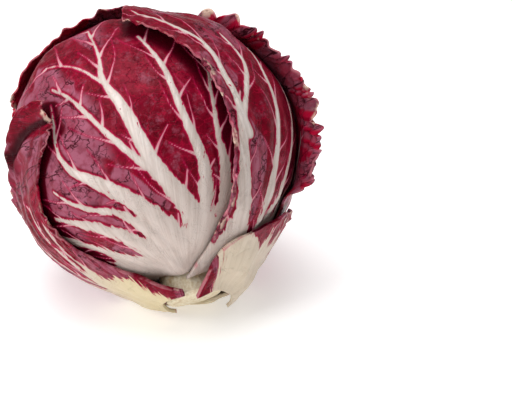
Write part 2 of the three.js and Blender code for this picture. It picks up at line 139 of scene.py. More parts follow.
RIBS = {
    "front_leaf": [
        [(8, 16, 6), (14, 31, 4.6), (17, 45, 3.8), (14, 59, 3.0), (10, 73, 2.6), (7, 91, 2.1),
         (2, 105, 1.1), (2, 115, 0.65), (1, 123, 0.4), (-2, 136, 0.2)],
        [(1, 105, 0.5), (-6, 114, 0.35), (-15, 121, 0.25), (-21, 124, 0.1)],
        [(10, 16, 4), (20, 40, 3.6), (27, 58, 2.7), (28, 68, 2.0), (27, 80, 1.6), (26, 92, 1.3),
         (25, 104, 1.1), (22, 115, 0.8), (17, 126, 0.4)],
        [(12, 16, 4), (30, 42, 3.0), (36, 57, 2.2), (37, 66, 1.4), (39, 79, 0.9), (41, 94, 0.6),
         (43, 110, 0.3)],
        [(7, 16, 4), (15, 40, 3.2), (15, 51, 2.6), (11, 64, 1.6), (4, 76, 1.3), (-2, 86, 1.0),
         (-7, 95, 0.8), (-12, 104, 0.5), (-18, 111, 0.25)],
        [(5, 16, 4), (8, 28, 4.5), (6, 45, 4.2), (-2, 60, 3.2), (-12, 70, 2.4), (-20, 77, 1.4),
         (-23, 84, 0.9), (-24, 91, 0.6), (-22, 98, 0.4), (-21, 106, 0.2)],
        [(3, 16, 4), (1, 42, 3.0), (-8, 56, 1.6), (-20, 61, 0.9), (-27, 66, 0.6), (-33, 72, 0.25)],
        [(-1, 16, 5), (-1, 31, 5), (-9, 44, 3.6), (-18, 51, 2.6), (-27, 55, 1.8), (-40, 58, 0.8)],
        [(-4, 16, 4), (-12, 28, 3.6), (-24, 38, 2.5), (-36, 42, 1.6), (-48, 47, 0.7)],
    ],
    "right_leaf": [
        [(-3, 18, 5), (-13, 44, 4), (-18, 67, 2.6), (-19, 87, 1.8), (-20, 97, 1.5), (-19, 109, 1.3),
         (-20, 117, 1.1), (-25, 126, 0.9), (-28, 137, 0.6), (-29, 146, 0.25)],
        [(-15, 74, 1.8), (-17, 80, 1.5), (-13, 89, 1.2), (-6, 102, 0.9), (-5, 109, 0.8), (-6, 120, 0.3)],
        [(1, 18, 4), (1, 60, 2), (3, 81, 1.4), (4, 92, 1.0), (5, 103, 0.7), (8, 115, 0.3)],
        [(3, 18, 4), (8, 42, 3), (18, 70, 1.5), (24, 96, 0.8), (26, 118, 0.3)],
        [(5, 18, 4), (14, 40, 2.5), (30, 60, 1.2), (40, 84, 0.3)],
    ],
}
print(len(LEAVES), "outer leaves")

# %% [markdown]
# ## Charts
# To lay one leaf over another, a place in one leaf's chart has to be found in the other's. The
# chart of a leaf is the ball seen from its own middle line, so both ways are a few products.

# %% Charts and outlines
SINK = 0.7
SINK_START = 15
SINK_FULL = 60
STEM_DIP = 11.5
CROWN_DIP = 4
STEM_RADIUS = 11.5
FOOT_CLEARANCE = 1
FOOT_RADIUS = 47
FOOT_STEP = 1.7
BLADE_THICKNESS = 0.8
FOOT_THICKNESS = 1.8
BLADE_GAP = 1.15
FOOT_GAP = 0.7
FOOT_FADE = 17
CORNER_DROP = 11
FOOT_END = 15
SOLVE_ROUNDS = 4
WIDEST_SHARE = 1.6


def through(values, t):
    """A smooth curve through evenly spaced values: in each span, the cubic that leaves and
    arrives along the line between its neighbours, and straight on past the ends."""
    points = np.array([2 * values[0] - values[1], *values, 2 * values[-1] - values[-2]], float)
    spans = len(values) - 1
    t = np.clip(t, 0, 1)
    i = np.minimum(spans - 1, np.floor(t * spans).astype(int))
    f = t * spans - i
    p0, p1, p2, p3 = (points[i + k] for k in range(4))
    bend = 2 * p0 - 5 * p1 + 4 * p2 - p3
    turn = -p0 + 3 * p1 - 3 * p2 + p3
    return 0.5 * (2 * p1 + (p2 - p0) * f + bend * f**2 + turn * f**3)


def leaf_direction(leaf, across, along):
    """The direction of a place in the leaf's chart: cos across of the middle line's direction
    at along, and sin across of the sideways direction."""
    side = ball_direction(90, leaf["centre"] + 90)
    middle = ball_direction(along, leaf["centre"])
    across = np.asarray(across) * DEG
    return np.cos(across)[..., None] * middle + np.sin(across)[..., None] * side


def leaf_angles(leaf, direction):
    """The place in the leaf's chart of a direction: the arc sine of its sideways share, and the
    angle from the stem of the rest, which may pass the top."""
    across = np.arcsin(np.clip(direction @ ball_direction(90, leaf["centre"] + 90), -1, 1)) / DEG
    along = np.arctan2(direction @ ball_direction(90, leaf["centre"]), -(direction @ AXIS)) / DEG
    return across, np.where(along < -90, along + 360, along)


def foot_angle(leaf):
    """Where a leaf starts on the stem, farther out than the leaves under it."""
    radius = FOOT_RADIUS + FOOT_STEP * RANK[leaf["name"]]
    return np.arcsin((STEM_RADIUS + FOOT_CLEARANCE) / radius) / DEG


def half_width(leaf, u, v):
    """The leaf's half width at v from foot to tip, on the side that u's sign names."""
    return np.where(np.asarray(u) < 0, through(leaf["left"], v), through(leaf["right"], v))


def reach(leaf, u):
    """How far along the tip comes at u, less a drop with the fourth power of u that rounds it."""
    return through(leaf["reach"], (np.asarray(u) + 1) / 2) - CORNER_DROP * np.minimum(1, np.asarray(u) ** 4)


def foot_line(leaf, u):
    """The along at which the leaf starts: the circle round the stem, seen in the chart."""
    across = u * half_width(leaf, u, 0)
    return np.arccos(np.minimum(1, np.cos(foot_angle(leaf) * DEG) / np.cos(across * DEG))) / DEG


def leaf_chart(leaf, u, v):
    """across and along at u from -1 to 1 over the width and v from 0 to 1 from foot to tip."""
    start = foot_line(leaf, u)
    return u * half_width(leaf, u, v), start + v * (reach(leaf, u) - start)


def leaf_shares(leaf, across, along):
    """u and v of a place in the chart, by rounds of solving for one with the other held."""
    u = np.zeros_like(across)
    for _ in range(SOLVE_ROUNDS):
        start = foot_line(leaf, u)
        v = (along - start) / (reach(leaf, u) - start)
        u = np.clip(across / half_width(leaf, across, v), -WIDEST_SHARE, WIDEST_SHARE)
    return u, v


def inside_edge(leaf, across, along):
    """How far inside the leaf's edge a place is, in mm, negative outside."""
    u, v = leaf_shares(leaf, across, along)
    side = half_width(leaf, across, v) - np.abs(across)
    tip = (1 - v) * reach(leaf, u)
    far_side = np.where(along < 0, along, side)
    return MM_PER_DEG * np.minimum(np.minimum(side, tip), far_side)


for leaf in LEAVES:
    print(leaf["name"], "foot at", round(float(foot_angle(leaf)), 1))

# %% [markdown]
# ## Layers
# Leaves press on each other, so a leaf's shape follows what lies under it. The radius of each
# layer is the heart's, and one thickness and one gap for every leaf below, fading out past that
# leaf's edge. A leaf's own free edges open only where no leaf lies over them.

# %% Layer radii
COVER_FADE = 12.5
COVER_PAD = 3
OPEN_PAD = 5
UNDULATION = 0.5
STEM_DIP_SPREAD = 30
CROWN_DIP_SPREAD = 42
NOTHING_OVER = 90.0


def foot_share(along):
    """1 at a leaf's foot, falling away along it."""
    return np.exp(-np.maximum(0, along - FOOT_END) / FOOT_FADE)


def thickness(along):
    """A blade's thickness, fleshy at the foot."""
    return mix(BLADE_THICKNESS, FOOT_THICKNESS, foot_share(along))


def layers(direction):
    """What each leaf adds to the radius at a direction: its thickness and the gap over it
    where it lies, fading out past its edge."""
    added = []
    for leaf in LEAVES:
        across, along = leaf_angles(leaf, direction)
        cover = smooth((inside_edge(leaf, across, along) + COVER_FADE + COVER_PAD) / COVER_FADE)
        added.append((thickness(along) + mix(BLADE_GAP, FOOT_GAP, foot_share(along))) * cover)
    return np.array(added)


BULGES = [
    dict(psi=126, longitude=-43, spread=26, height=3.2),
    dict(psi=154, longitude=-25, spread=18, height=0.7),
    dict(psi=97, longitude=-76, spread=22, height=-3.6),
    dict(psi=45, longitude=-70, spread=28, height=-3.2),
    dict(psi=95, longitude=84, spread=22, height=1.2),
    dict(psi=143, longitude=24, spread=20, height=1.4),
]


def ball_radius(direction):
    """The radius the head would have with nothing on it: dipped round the stem and at the
    crown, with low swellings from three sine waves across it and a few broad bulges and
    hollows, each a bell curve of the angle from its middle."""
    psi = np.arccos(np.clip(-(direction @ AXIS), -1, 1)) / DEG
    stem_dip = STEM_DIP * np.exp(-((psi / STEM_DIP_SPREAD) ** 2))
    dips = stem_dip + CROWN_DIP * np.exp(-(((180 - psi) / CROWN_DIP_SPREAD) ** 2))
    x, y, z = np.moveaxis(direction, -1, 0)
    swell = np.sin(5 * x + 2 * z + 1) + np.sin(6 * y - 3 * x + 2) + np.sin(7 * z + 4 * y)
    radius = HEART_RADIUS - dips + UNDULATION * swell / 2
    for bulge in BULGES:
        middle = ball_direction(bulge["psi"], bulge["longitude"])
        away = np.arccos(np.clip(direction @ middle, -1, 1)) / DEG
        radius = radius + bulge["height"] * np.exp(-((away / bulge["spread"]) ** 2))
    return radius


def stack_radius(count, direction):
    """The radius over the heart and the first leaves, with the gap above them. The heart is
    sunk by most of what lies on it, so that the head stays round where many leaves overlap."""
    added = layers(direction)
    psi = np.arccos(np.clip(-(direction @ AXIS), -1, 1)) / DEG
    share = SINK * smooth((psi - SINK_START) / (SINK_FULL - SINK_START))
    sunk = ball_radius(direction) - share * added.sum(axis=0)
    return sunk + BLADE_GAP + added[:count].sum(axis=0)


def clearance(leaf, direction):
    """How far a place is from the nearest leaf over this one, negative beneath one (mm)."""
    clear = np.full(direction.shape[:-1], NOTHING_OVER)
    for above in LEAVES[RANK[leaf["name"]] + 1:]:
        clear = np.minimum(clear, -inside_edge(above, *leaf_angles(above, direction)))
    return clear


FLAT_DEPTH = 1.3
FLAT_FADE = 22
DOWN = np.array([0.0, 0.0, -1.0])


def outer_radius(direction):
    """The radius of the outermost leaf's outer face."""
    return stack_radius(len(LEAVES), direction) - BLADE_GAP


CENTRE_HEIGHT = float(outer_radius(DOWN[None])[0]) - FLAT_DEPTH


def settle(points):
    """Points on the surface the head lies on: where the outermost leaf would reach below zero,
    everything over it is pressed up by that much, less and less with height."""
    direction = points / np.linalg.norm(points, axis=-1, keepdims=True)
    lowest = CENTRE_HEIGHT + outer_radius(direction) * direction[..., 2]
    height = CENTRE_HEIGHT + points[..., 2]
    press = np.maximum(0, -lowest) * np.clip(1 - (height - lowest) / FLAT_FADE, 0, 1)
    settled = points.copy()
    settled[..., 2] = np.maximum(0, height + press)
    return settled


print("middle of the head stands at", round(CENTRE_HEIGHT, 2), "mm")

# %% [markdown]
# ## Ribs and veins as distances
# A leaf's ribs are drawn as chains of points, and the finish asks of every place how far it is
# from them. The distance less half the rib's width is below zero inside a rib. Where ribs meet
# near the foot, the distances are joined softly, so that they run together in one white plate.

# %% Distances to ribs and veins
def chain_distance(chains, across, along):
    """For chains of (across, along, half width): for each chain the least of the distances to
    its straight pieces, less the half width there, in mm. One row for each chain."""
    squeeze = np.cos(across * DEG)
    rows = []
    for chain in chains:
        best = np.full(across.shape, 1e3)
        for (ax, ay, aw), (bx, by, bw) in zip(chain[:-1], chain[1:]):
            dx, dy = (bx - ax), (by - ay) * squeeze
            px, py = across - ax, (along - ay) * squeeze
            t = np.clip((px * dx + py * dy) / (dx * dx + dy * dy + 1e-9), 0, 1)
            distance = MM_PER_DEG * np.hypot(px - t * dx, py - t * dy) - mix(aw, bw, t)
            best = np.minimum(best, distance)
        rows.append(best)
    return np.array(rows)


def rounded(chain, steps=3):
    """The chain with its corners rounded: a smooth curve through its points."""
    t = np.linspace(0, 1, (len(chain) - 1) * steps + 1)
    return list(zip(*(through([point[k] for point in chain], t) for k in range(3))))


def soft_least(rows, sharpness):
    """The least of the rows, rounded where two are alike: minus the logarithm of the sum of
    their falling exponentials, over the sharpness."""
    least = rows.min(axis=0)
    return least - np.log(np.exp(-sharpness * (rows - least)).sum(axis=0)) / sharpness


RIB_FOOT = 18.0
RIB_REACH = 0.93
RIB_REACH_DROP = 0.42


def fan_ribs(leaf, count=3, spread=0.8):
    """Ribs that fan from the foot: each is a curve with one bow point, straight in the middle
    and bent out at the sides. It tapers from its foot, the middle one the stoutest."""
    ribs = []
    for share in np.linspace(-1, 1, 2 * count + 1):
        far = RIB_REACH - RIB_REACH_DROP * share**2
        tip = leaf_chart(leaf, np.array(spread * share), np.array(far))
        end = np.array([float(part) for part in tip])
        start = np.array([3 * share, RIB_FOOT])
        bow = np.array([0.55 * end[0], 0.58 * start[1] + 0.42 * end[1]])
        t = np.linspace(0, 1, 9)[:, None]
        route = (1 - t) ** 2 * start + 2 * t * (1 - t) * bow + t**2 * end
        width = leaf.get("stout", 1) * (4.6 - 2 * abs(share)) * (1 - t[:, 0]) ** 1.3 + 0.25
        ribs.append([(x, y, w) for (x, y), w in zip(route, width)])
    return ribs


VEIN_WIDTHS = (0.7, 0.36, 0.2, 0.13, 0.09, 0.06, 0.02, -0.04, -0.4)
FIRST_VEIN = 16


def side_veins(ribs, rng, spacing=7.5, length=25.0):
    """Veins that leave a rib's edge at a slant, on alternate sides, at even steps with some
    wander. Each is a chain that starts as a barb and thins to a thread, and it stops where it
    would be nearer to another rib than to its own."""
    veins = []
    for number, rib in enumerate(ribs):
        points = np.array(rib)
        run = np.concatenate([[0], np.cumsum(np.hypot(*np.diff(points[:, :2], axis=0).T))])
        others = [other for other in ribs if other is not rib]
        side = 1 if number % 2 else -1
        at = FIRST_VEIN + rng.uniform(0, spacing)
        while at < run[-1] - 1:
            x, y, width = (np.interp(at, run, points[:, k]) for k in range(3))
            ahead_x, ahead_y = (np.interp(at + 2, run, points[:, k]) for k in range(2))
            heading = np.arctan2(ahead_x - x, ahead_y - y)
            sideways = np.array([np.cos(heading), -np.sin(heading)])
            spot = np.array([x, y]) + side * sideways * 0.7 * width / MM_PER_DEG
            slant = heading + side * rng.uniform(0.45, 0.8)
            stretch = length * rng.uniform(0.5, 1.3) / (len(VEIN_WIDTHS) - 1)
            vein = [(spot[0], spot[1], VEIN_WIDTHS[0])]
            for width in VEIN_WIDTHS[1:]:
                slant += rng.uniform(-0.16, 0.16) - 0.05 * side
                spot = spot + stretch * np.array([np.sin(slant), np.cos(slant)])
                vein.append((spot[0], spot[1], width))
                here = np.array([spot])
                own = chain_distance([rib], here[:, 0], here[:, 1])[0, 0]
                if others and chain_distance(others, here[:, 0], here[:, 1]).min() < own:
                    break
            veins.append(vein)
            side = -side
            at += spacing * rng.uniform(0.6, 1.4)
    return veins


def strewn_cells(across, along, rng, spacing):
    """Seeds are strewn evenly over the chart, and each place belongs to the nearest one. Gives
    the distance to the wall between two cells, in mm, and a random share for the cell, which
    changes over half a millimetre at the wall: a mean weighted by falling exponentials."""
    x = across * np.cos(across * DEG) * MM_PER_DEG
    y = along * MM_PER_DEG
    count = int((np.ptp(x) + 8) * (np.ptp(y) + 8) / spacing**2)
    seeds = rng.uniform((x.min() - 4, y.min() - 4), (x.max() + 4, y.max() + 4), (count, 2))
    shares = rng.uniform(0, 1, count)
    places = np.stack([x.ravel(), y.ravel()], 1).astype(np.float32)
    walls, values = [], []
    for part in np.array_split(places, max(1, len(places) // 8000)):
        far = np.sqrt(((part[:, None, :] - seeds[None].astype(np.float32)) ** 2).sum(-1))
        two = np.partition(far, 1, axis=1)[:, :2]
        walls.append((two[:, 1] - two[:, 0]) / 2)
        weight = np.exp(-2.5 * (far - two[:, :1]))
        values.append((weight * shares).sum(axis=1) / weight.sum(axis=1))
    return np.concatenate(walls).reshape(across.shape), np.concatenate(values).reshape(across.shape)


print("ribs drawn by hand on", list(RIBS))

# %% [markdown]
# ## Wrinkles
# A fresh leaf isn't smooth: it puffs up between its veins and puckers in long creases. A sum of
# sine waves in random directions gives such swellings without any picture, and the same seed
# gives the same leaf each time.

# %% Wave noise
def wave_noise(points, wavelength, seed, count=14):
    """The sum of sine waves of about one wavelength in random directions, from about -1 to 1."""
    rng = np.random.default_rng(seed)
    heading = rng.normal(size=(count, 3))
    heading /= np.linalg.norm(heading, axis=1, keepdims=True)
    heading *= 2 * np.pi / (wavelength * rng.uniform(0.75, 1.35, (count, 1)))
    shift = rng.uniform(0, 2 * np.pi, count)
    total = np.zeros(points.shape[:-1])
    for wave, start in zip(heading, shift):
        total += np.sin(points @ wave + start)
    return total / np.sqrt(count / 2) / 1.6


def line_noise(values, wavelength, seed, count=8):
    """The same along one line: sine waves of about one wavelength, from about -1 to 1."""
    rng = np.random.default_rng(seed)
    total = np.zeros(np.shape(values))
    for _ in range(count):
        total += np.sin(2 * np.pi * values / (wavelength * rng.uniform(0.6, 1.5)) + rng.uniform(0, 6.28))
    return total / np.sqrt(count / 2) / 1.6


print("a wave of 9 mm reaches", round(float(np.abs(line_noise(np.arange(200), 9, 1)).max()), 2))

# %% [markdown]
# ## The margin
# A free margin is toothed in its own plane and ruffled out of it. Everything there is told by
# two lengths: how far a place lies round the margin, and how near it is to the rim.

# %% The leaf's margin
SKIRT_END = 0.92
SKIRT_FADE = 0.35
TOOTH = 1.1
TOOTH_LONG = 9
TOOTH_SHORT = 3.2
TOOTH_POWER = 14
LOBE_LENGTH = 8
LOBE_WANDER = 17
LOBE_ROUND = 0.6
CRIMP = 0.55
CRIMP_LENGTH = 6
FREE_START = 24
FREE_FULL = 55
SLANT_START = 0.63
HOLLOW_START = 0.52
HOLLOW_FADE = 0.12
HOLLOW_HALF = 2.9


def fold_rise(leaf, u, tip):
    """Where a corner has buckled: a lip near the tip, a groove, and a low swell behind it, each
    a bell curve of the distance from the tip, within a bell-shaped window across the leaf. The
    groove may slant away from the tip along the leaf's width."""
    fold = leaf.get("fold")
    if not fold:
        return 0 * tip
    window = np.exp(-(((u - fold["at"]) / fold["width"]) ** 2))
    groove = fold["groove"] + fold["slant"] * np.maximum(0, u - SLANT_START)
    lip = fold["lip"] * np.exp(-(((tip - 0.3 * groove) / (0.4 * groove)) ** 2))
    swell = fold["swell"] * np.exp(-(((tip - 1.6 * groove) / (0.4 * groove)) ** 2))
    return window * (lip + swell)


def groove_shade(leaf, u, tip):
    """How much painted shade a place gets in the groove behind a buckled lip: a bell curve of
    the distance from the groove's line, where that line is slanted."""
    fold = leaf.get("fold")
    if not fold or not fold["slant"]:
        return 0 * tip
    groove = fold["groove"] + fold["slant"] * np.maximum(0, u - SLANT_START)
    depth = smooth(1.5 * np.exp(-(((tip - groove) / HOLLOW_HALF) ** 2)))
    return smooth((u - HOLLOW_START) / HOLLOW_FADE) * depth


def margin_place(leaf, u, v):
    """How far round the margin a place lies, in mm from the tip's middle: the width at the tip,
    then the length down the side. Inside the margin it follows the nearest part of the rim."""
    down = MM_PER_DEG * reach(leaf, u) * (1 - v)
    round_tip = mix(u, np.sign(u), smooth((1 - v) / 0.3))
    aside = np.sign(u) * smooth((np.abs(u) - 0.2) / 0.5)
    return MM_PER_DEG * half_width(leaf, u, 1) * round_tip + aside * down


def margin_lobes(leaf, margin):
    """Round lobes along the margin, 0 in the notches and 1 between: the size of a sine wave,
    its pace wandering, raised to a power below one so that the lobes are full."""
    bend = np.pi * margin / LOBE_LENGTH + line_noise(margin, LOBE_WANDER, RANK[leaf["name"]] + 30)
    return np.abs(np.sin(bend)) ** LOBE_ROUND


def margin_teeth(leaf, margin, lobes):
    """How far the teeth and lobes reach past the plain outline, in mm: long waves and short
    ones along the margin, and the lobes where the leaf has them."""
    rank = RANK[leaf["name"]]
    long_teeth = line_noise(margin, TOOTH_LONG, rank)
    short_teeth = line_noise(margin, TOOTH_SHORT, rank + 20)
    teeth = leaf.get("tooth", TOOTH) * (0.6 * long_teeth + 0.4 * short_teeth)
    return teeth + 0.6 * leaf.get("lobe", 0) * (lobes - 0.7)


def margin_rise(leaf, u, v, margin, lobes, near, free):
    """How far a free leaf stands off the layer beneath, in mm. near is 0 inside and 1 at the
    rim: the lift grows with it, the flare with its square, and between them comes a slow wave
    round the rim. Short crimps and the lobes curl the last of it, and a buckle adds its fold."""
    edge = leaf["edge"]
    wave_place = MM_PER_DEG * u * (half_width(leaf, u, 1) + reach(leaf, u) * (1 - v) * u * u)
    phase = 2 * np.pi * wave_place / edge["pitch"]
    ruffle = 0.5 + 0.5 * np.sin(phase + 1.3 * np.sin(0.37 * phase))
    flare = edge["flare"] + edge.get("skirt", 0) * smooth((SKIRT_END - v) / SKIRT_FADE)
    broad = free * (edge["lift"] * near + flare * near**2 + edge["wave"] * ruffle * near**1.5)
    crimp = leaf.get("crimp", CRIMP) * line_noise(margin, CRIMP_LENGTH, RANK[leaf["name"]] + 40)
    fine = free * near**2 * (crimp + leaf.get("lobe", 0) * (lobes - 0.5))
    return broad + fine + fold_rise(leaf, u, MM_PER_DEG * (1 - v) * reach(leaf, u))


print("the frill has a lobe every", LOBE_LENGTH, "mm")

# %% [markdown]
# ## Ribs, creases and relief
# The ribs and veins are distances. The creases are the walls of strewn cells, shallower where
# the painted mauve sheen is thin. The relief stands on the leaf: a rib is a ridge, and the blade
# between the ribs puffs up, dips along its creases and runs in pleats towards the tip.

# %% The leaf's pattern and relief
CREASE_SIZE = 6.5
CREASE_SQUEEZE = 0.65
AREA_SIZE = 15
SHEEN = 0.35
SHEEN_FADE = 0.12
PLEAT = 0.15
PUFF_BROAD = 0.24
PUFF_FINE = 0.1
PILLOW = 0.32
RIB_HEIGHT = 1.05
RIB_SLOPE = 0.42
RIB_SHOULDER = 0.25
THREAD_HEIGHT = 0.22
BLADE_SINK = 0.1
COVERED_RELIEF = 0.35
# painted shade where another leaf lies close over a leaf
OVERLAP_SHADE = 0.85
OVERLAP_SHADE_END = 5
OVERLAP_SHADE_FADE = 4.5


def rib_and_vein(leaf, across, along):
    """The distance to the nearest rib, joined softly near the foot and sharply farther out,
    and the distance to the nearest side vein, both in mm."""
    ribs = [rounded(rib) for rib in RIBS.get(leaf["name"]) or fan_ribs(leaf)]
    sharpness = mix(0.9, 3.5, smooth((along - 30) / 45))
    rib = soft_least(chain_distance(ribs, across, along), sharpness)
    veins = side_veins(ribs, np.random.default_rng(RANK[leaf["name"]] + 7))
    return rib, chain_distance(veins, across, along).min(axis=0)


def crease_and_sheen(leaf, across, along, places, near, lobes):
    """The distance to the nearest crease in mm, and the share of painted mauve sheen: whole
    areas have it or lack it, a leaf with a slope of it has less of it to its right and towards
    its tip, and the crowns of the lobes get it as a painted highlight."""
    rank = RANK[leaf["name"]]
    sway = 1.3 * wave_noise(places, 13, rank + 90)
    rng = np.random.default_rng(rank + 11)
    squeezed = CREASE_SQUEEZE * (along - 0.7 * sway)
    long_crease, _ = strewn_cells(across + sway, squeezed, rng, CREASE_SIZE)
    crease = long_crease + 0.5 * smooth(0.5 + 0.8 * wave_noise(places, 9, rank + 50))
    _, area = strewn_cells(across + 0.5 * sway, along + sway, rng, AREA_SIZE)
    # painted sheen fades to the leaf's right and towards its tip
    sheen_slope = leaf.get("sheen_slope", 0) * (across / 60 + 0.35 * smooth((along - 100) / 15))
    amount = leaf.get("sheen", SHEEN) - sheen_slope
    sheen = smooth((amount - area) / SHEEN_FADE + 0.5)
    # painted highlight on the crowns of the lobes near the rim
    sheen = np.maximum(sheen, leaf.get("lobe", 0) / 2 * near * smooth((lobes - 0.7) / 0.2))
    shallow = smooth(0.5 + 0.9 * wave_noise(places, 18, rank + 70))
    return crease + 0.8 * shallow * (1 - sheen), sheen


def blade_puff(leaf, across, along, places):
    """The blade's own swelling in mm: broad and fine waves, and pleats that fan from the foot,
    drawn out along the leaf."""
    rank = RANK[leaf["name"]]
    puff = PUFF_BROAD * wave_noise(places, 15, rank + 60) + PUFF_FINE * wave_noise(places, 6, rank + 80)
    fan = np.arctan2(across, along - 4) / DEG
    pleats = wave_noise(np.stack([fan, 0.16 * along, 0 * along], -1), 6, rank + 33)
    return puff + leaf.get("pleat", PLEAT) * pleats * smooth((along - 40) / 30)


def leaf_relief(rib, vein, crease, puff, blade):
    """The outer face's relief in mm: a rib's rounded ridge with a soft shoulder, and on the
    blade the puff, a pillow between creases and a thread over each vein."""
    pillow = PILLOW * (1 - np.exp(-crease / 0.8))
    ridge = RIB_HEIGHT * np.tanh(RIB_SLOPE * np.maximum(0, -rib))
    ridge = ridge + RIB_SHOULDER * np.exp(-((rib / 0.7) ** 2))
    thread = THREAD_HEIGHT * np.exp(-((np.maximum(0, vein) / 0.5) ** 2))
    return ridge + blade * (puff + pillow + thread - BLADE_SINK)


def leaf_faces(leaf):
    """The leaf's outer and inner face as grids of points, and the fields its finish reads."""
    columns, rows = leaf["grid"]
    u, v = np.meshgrid(np.linspace(-1, 1, columns + 1), np.linspace(0, 1, rows + 1))
    across, along = leaf_chart(leaf, u, v)
    inside = np.maximum(0, inside_edge(leaf, across, along))
    near = np.clip(1 - inside / leaf["edge"]["zone"], 0, 1)
    free = smooth((along - FREE_START) / (FREE_FULL - FREE_START))
    margin = margin_place(leaf, u, v)
    lobes = margin_lobes(leaf, margin)
    teeth = margin_teeth(leaf, margin, lobes) * free / MM_PER_DEG
    across = across + np.sign(u) * teeth * np.abs(u) ** TOOTH_POWER
    along = along + teeth * v**TOOTH_POWER

    direction = leaf_direction(leaf, across, along)
    clear = clearance(leaf, direction)
    open_share = smooth((clear - OPEN_PAD) / COVER_FADE)
    rise = open_share * margin_rise(leaf, u, v, margin, lobes, near, free)
    base = stack_radius(RANK[leaf["name"]], direction) + rise

    places = direction * HEART_RADIUS
    rib, vein = rib_and_vein(leaf, across, along)
    crease, sheen = crease_and_sheen(leaf, across, along, places, near, lobes)
    puff = blade_puff(leaf, across, along, places)
    blade = smooth(rib / 3)
    room = mix(COVERED_RELIEF, 1, np.clip(clear / OPEN_PAD, 0, 1))
    outer = base + thickness(along) + leaf_relief(rib, vein, crease, puff, blade) * room
    inner = base + 0.4 * near**2 + 0.5 * puff * blade * room

    # painted shade: close under another leaf, and in the groove behind a buckled lip
    overlap_shade = OVERLAP_SHADE * smooth((OVERLAP_SHADE_END - clear) / OVERLAP_SHADE_FADE)
    painted_shade = np.maximum(groove_shade(leaf, u, MM_PER_DEG * (1 - v) * reach(leaf, u)), overlap_shade)
    fields = dict(rib=rib, vein=vein, crease=crease, sheen=sheen, rim=inside, along=along, painted_shade=painted_shade)
    return direction * outer[..., None], direction * inner[..., None], across, fields


print("a rib stands up to", RIB_HEIGHT, "mm proud")

# %% [markdown]
# ## Closing the shell
# Two grids of points become one closed mesh: the outer face, the inner face turned over, and a
# strip of quads round the rim. The fields go with it as named values on its points.

# %% Faces and meshes
def grid_faces(columns, rows):
    """Corner numbers of the quads of a closed shell: the outer grid, the inner grid turned
    over, and the strip from rim to rim."""
    wide = columns + 1
    count = wide * (rows + 1)
    i, j = np.meshgrid(np.arange(columns), np.arange(rows))
    a = (j * wide + i).ravel()
    outer = np.stack([a, a + 1, a + wide + 1, a + wide], 1)
    inner = count + outer[:, ::-1]
    rim = np.concatenate([
        np.arange(columns),
        np.arange(rows) * wide + columns,
        rows * wide + np.arange(columns, 0, -1),
        np.arange(rows, 0, -1) * wide,
    ])
    ahead = np.roll(rim, -1)
    strip = np.stack([ahead, rim, count + rim, count + ahead], 1)
    return np.concatenate([outer, inner, strip])


def make_mesh(name, points, faces, maps, fields):
    """A mesh object from points in mm and quads, with UV maps and named vertex fields."""
    mesh = bpy.data.meshes.new(name)
    mesh.vertices.add(len(points))
    mesh.vertices.foreach_set("co", (points * 0.001).astype(np.float32).ravel())
    mesh.loops.add(faces.size)
    mesh.loops.foreach_set("vertex_index", faces.astype(np.int32).ravel())
    mesh.polygons.add(len(faces))
    mesh.polygons.foreach_set("loop_start", np.arange(0, faces.size, faces.shape[1], dtype=np.int32))
    mesh.update(calc_edges=True)
    mesh.polygons.foreach_set("use_smooth", np.ones(len(faces), bool))
    for name_of_map, uv in maps.items():
        layer = mesh.uv_layers.new(name=name_of_map)
        layer.data.foreach_set("uv", uv[faces.ravel()].astype(np.float32).ravel())
    for field, values in fields.items():
        attribute = mesh.attributes.new(field, "FLOAT", "POINT")
        attribute.data.foreach_set("value", values.astype(np.float32).ravel())
    mesh.validate()
    made = bpy.data.objects.new(name, mesh)
    bpy.context.scene.collection.objects.link(made)
    return made


print("a leaf of 100 by 100 squares has", len(grid_faces(100, 100)), "quads")
